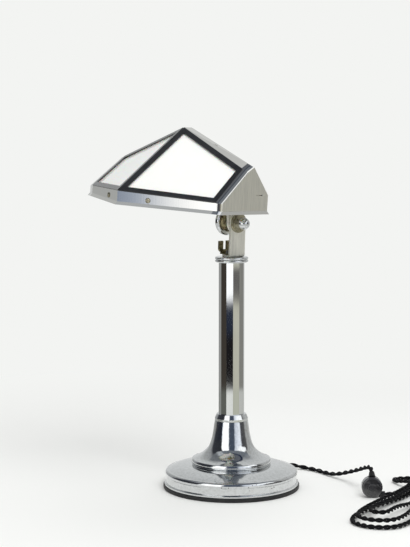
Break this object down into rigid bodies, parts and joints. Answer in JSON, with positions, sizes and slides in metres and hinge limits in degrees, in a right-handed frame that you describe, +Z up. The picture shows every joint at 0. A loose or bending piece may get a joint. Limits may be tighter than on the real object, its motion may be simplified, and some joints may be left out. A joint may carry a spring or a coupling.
{
  "type": "table lamp",
  "caption": "Table lamp with a round spun foot, faceted stem, tilting faceted hood with opal glass panes, and a flex with a round switch.",
  "frame": {"origin": "centre of the foot's underside, on the surface the lamp stands on", "axes": "+Z up, -Y the way the hood's prow points, +X the side of the ball nut"},
  "size_m": [0.3827, 0.4168, 0.4233],
  "materials": {
    "bakelite": "polished",
    "black_frame": "matt black",
    "black_rubber": "matt",
    "brass": "satin",
    "bulb": "opal",
    "chrome": "polished, lightly worn",
    "dark_brass": "tarnished",
    "felt": "felt",
    "flex": "woven",
    "iron": "rough cast",
    "nickel": "satin nickel",
    "opal": "opal",
    "porcelain": "glazed",
    "steel": "plain"
  },
  "bodies": {
    "base": {"ballast": "iron", "base_nut": "steel", "base_shell": "chrome", "base_washer": "steel", "cord_bush": "black_rubber", "felt_pad": "felt", "flex_hank": "flex", "flex_lead": "flex", "flex_link": "flex", "flex_tail": "flex", "foot_ring": "black_rubber", "neck_ring": "chrome", "plug_body": "bakelite", "plug_pins": "nickel", "stem_collar": "chrome", "stem_tube": "chrome", "switch_far": "bakelite", "switch_near": "bakelite", "switch_outlet": "black_rubber", "switch_sleeve": "black_rubber", "tie_rod": "steel", "top_nut": "dark_brass"},
    "yoke": {"yoke_strap": "nickel", "flex_fork": "dark_brass", "friction_disc": "chrome", "hub_spacer": "dark_brass", "pivot_bolt": "steel", "pivot_washer_large": "nickel", "pivot_washer_small": "dark_brass"},
    "hood": {"hood_shell": "nickel", "hood_arm": "steel", "arm_screws": "nickel", "fascia_clips": "brass", "fascia_screws": "nickel", "glazing_near": "black_frame", "pane_near": "opal", "glazing_far": "black_frame", "pane_far": "opal", "holder_nipple": "brass", "holder_nut": "brass", "holder_shell": "brass", "holder_insulator": "porcelain", "holder_contact": "brass", "bulb_cap": "nickel", "bulb_glass": "bulb"},
    "thumb_nut": {"ball_nut": "chrome"},
    "button": {"switch_button": "bakelite"}
  },
  "joints": [
    {"name": "head_swivel", "type": "hinge", "parent": "base", "child": "yoke", "pos_m": [0, 0, 0.275], "axis": [0, 0, 1], "range_deg": [-170, 170]},
    {"name": "hood_tilt", "type": "hinge", "parent": "yoke", "child": "hood", "pos_m": [0, 0, 0.3133], "axis": [0.999, 0, -0.0436], "range_deg": [-45, 75]},
    {"name": "thumb_nut_turn", "type": "hinge", "parent": "yoke", "child": "thumb_nut", "pos_m": [0, 0, 0.3133], "axis": [0.999, 0, -0.0436], "range_deg": [-180, 180]},
    {"name": "switch_press", "type": "slide", "parent": "base", "child": "button", "axis": [-0.766, 0.6428, 0], "range_m": [0, 0.0015], "stiffness_N_per_m": 300, "springref_m": -0.001}
  ]
}
